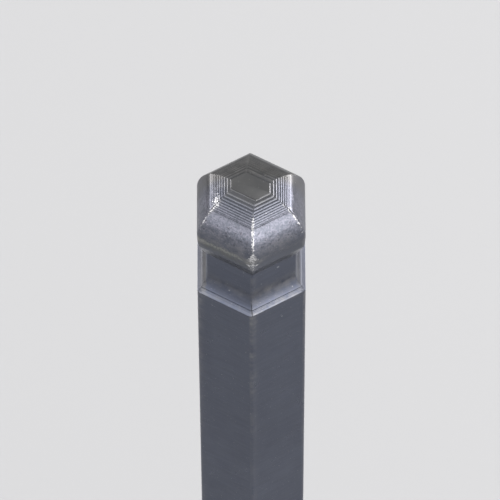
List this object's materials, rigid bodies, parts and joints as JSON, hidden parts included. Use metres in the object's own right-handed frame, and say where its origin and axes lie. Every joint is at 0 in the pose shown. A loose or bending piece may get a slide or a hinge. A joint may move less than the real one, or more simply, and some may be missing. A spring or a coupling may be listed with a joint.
{
  "type": "ball-end hexagon driver with sliding tee bar",
  "caption": "Slender hexagonal steel blade with a rounded, stepped driving end on a necked tip, pinned into a turned hub that carries a sliding cross bar with knurled end knobs.",
  "frame": {"origin": "centre of the hub's flat end, which the tool stands on", "axes": "+Z along the blade towards the ball-ended tip, +X along the cross bar, +Y square to both; a corner of the blade's hexagon faces -Y"},
  "size_m": [0.091, 0.014, 0.131],
  "materials": {
    "blade_steel": "blue-black oxide on machined steel, worn bright on the ball's corners",
    "hub_steel": "turned steel, dark oxide",
    "pin_steel": "spring steel, plain",
    "bar_steel": "ground bright bar",
    "knob_steel": "knurled steel, dark oxide",
    "screw_steel": "black oxide",
    "ring_rubber": "matt black",
    "ball_steel": "polished bearing ball",
    "spring_steel": "drawn spring wire"
  },
  "bodies": {
    "handle": {"hub": "hub_steel", "hex_blade": "blade_steel", "blade_pin": "pin_steel", "detent_screw": "screw_steel", "detent_spring": "spring_steel"},
    "bar": {"tee_bar": "bar_steel", "knob_right": "knob_steel", "knob_left": "knob_steel", "knob_screw_right": "screw_steel", "knob_screw_left": "screw_steel", "bumper_ring_right": "ring_rubber", "bumper_ring_left": "ring_rubber"},
    "ball": {"detent_ball": "ball_steel"}
  },
  "joints": [
    {"name": "bar_slide", "type": "slide", "parent": "handle", "child": "bar", "axis": [1, 0, 0], "range_m": [-0.0274, 0.0274]},
    {"name": "ball_plunge", "type": "slide", "parent": "handle", "child": "ball", "axis": [0, 0, -1], "range_m": [0, 0.0004], "stiffness_N_per_m": 5000, "deforming": ["detent_spring"]}
  ]
}
